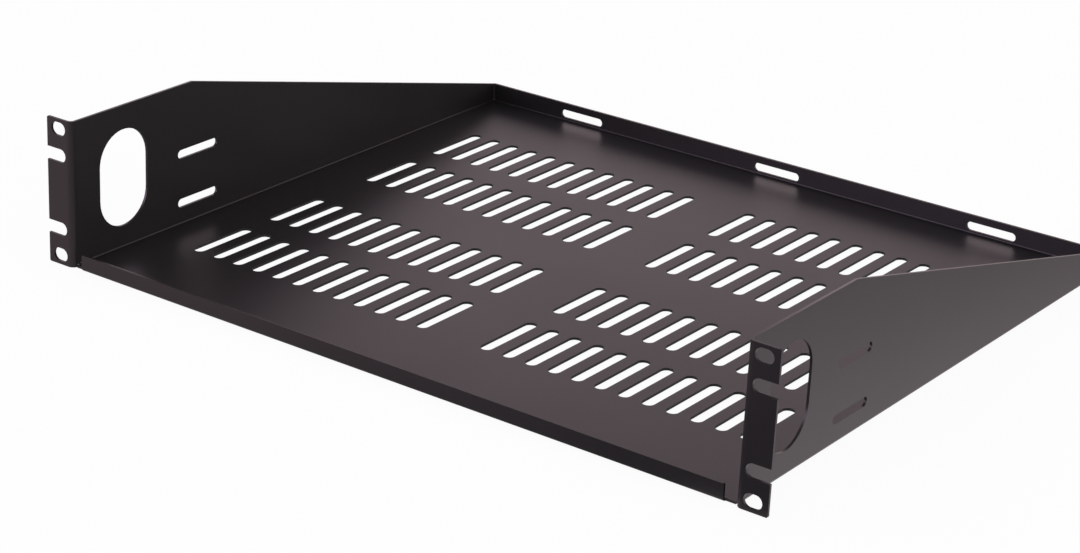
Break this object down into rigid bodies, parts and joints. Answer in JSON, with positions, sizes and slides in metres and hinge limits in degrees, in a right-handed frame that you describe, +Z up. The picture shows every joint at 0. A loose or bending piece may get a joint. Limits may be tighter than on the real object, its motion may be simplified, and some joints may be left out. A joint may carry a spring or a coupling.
{
  "type": "rack shelf",
  "caption": "Vented cantilever shelf for a 19-inch rack, folded from sheet steel, with tapered side walls, slotted ears, low lips and rows of air slots in its floor.",
  "frame": {"origin": "middle of the underside, halfway between the ears' front faces and the rear lip's back face", "axes": "+X across the rack towards the right ear, +Y from the ears towards the rear lip, +Z up"},
  "size_m": [0.4826, 0.4, 0.0881],
  "materials": {
    "powder_coat": "satin black powder coat on steel sheet"
  },
  "bodies": {
    "root": {"rack_shelf": "powder_coat"}
  },
  "joints": []
}
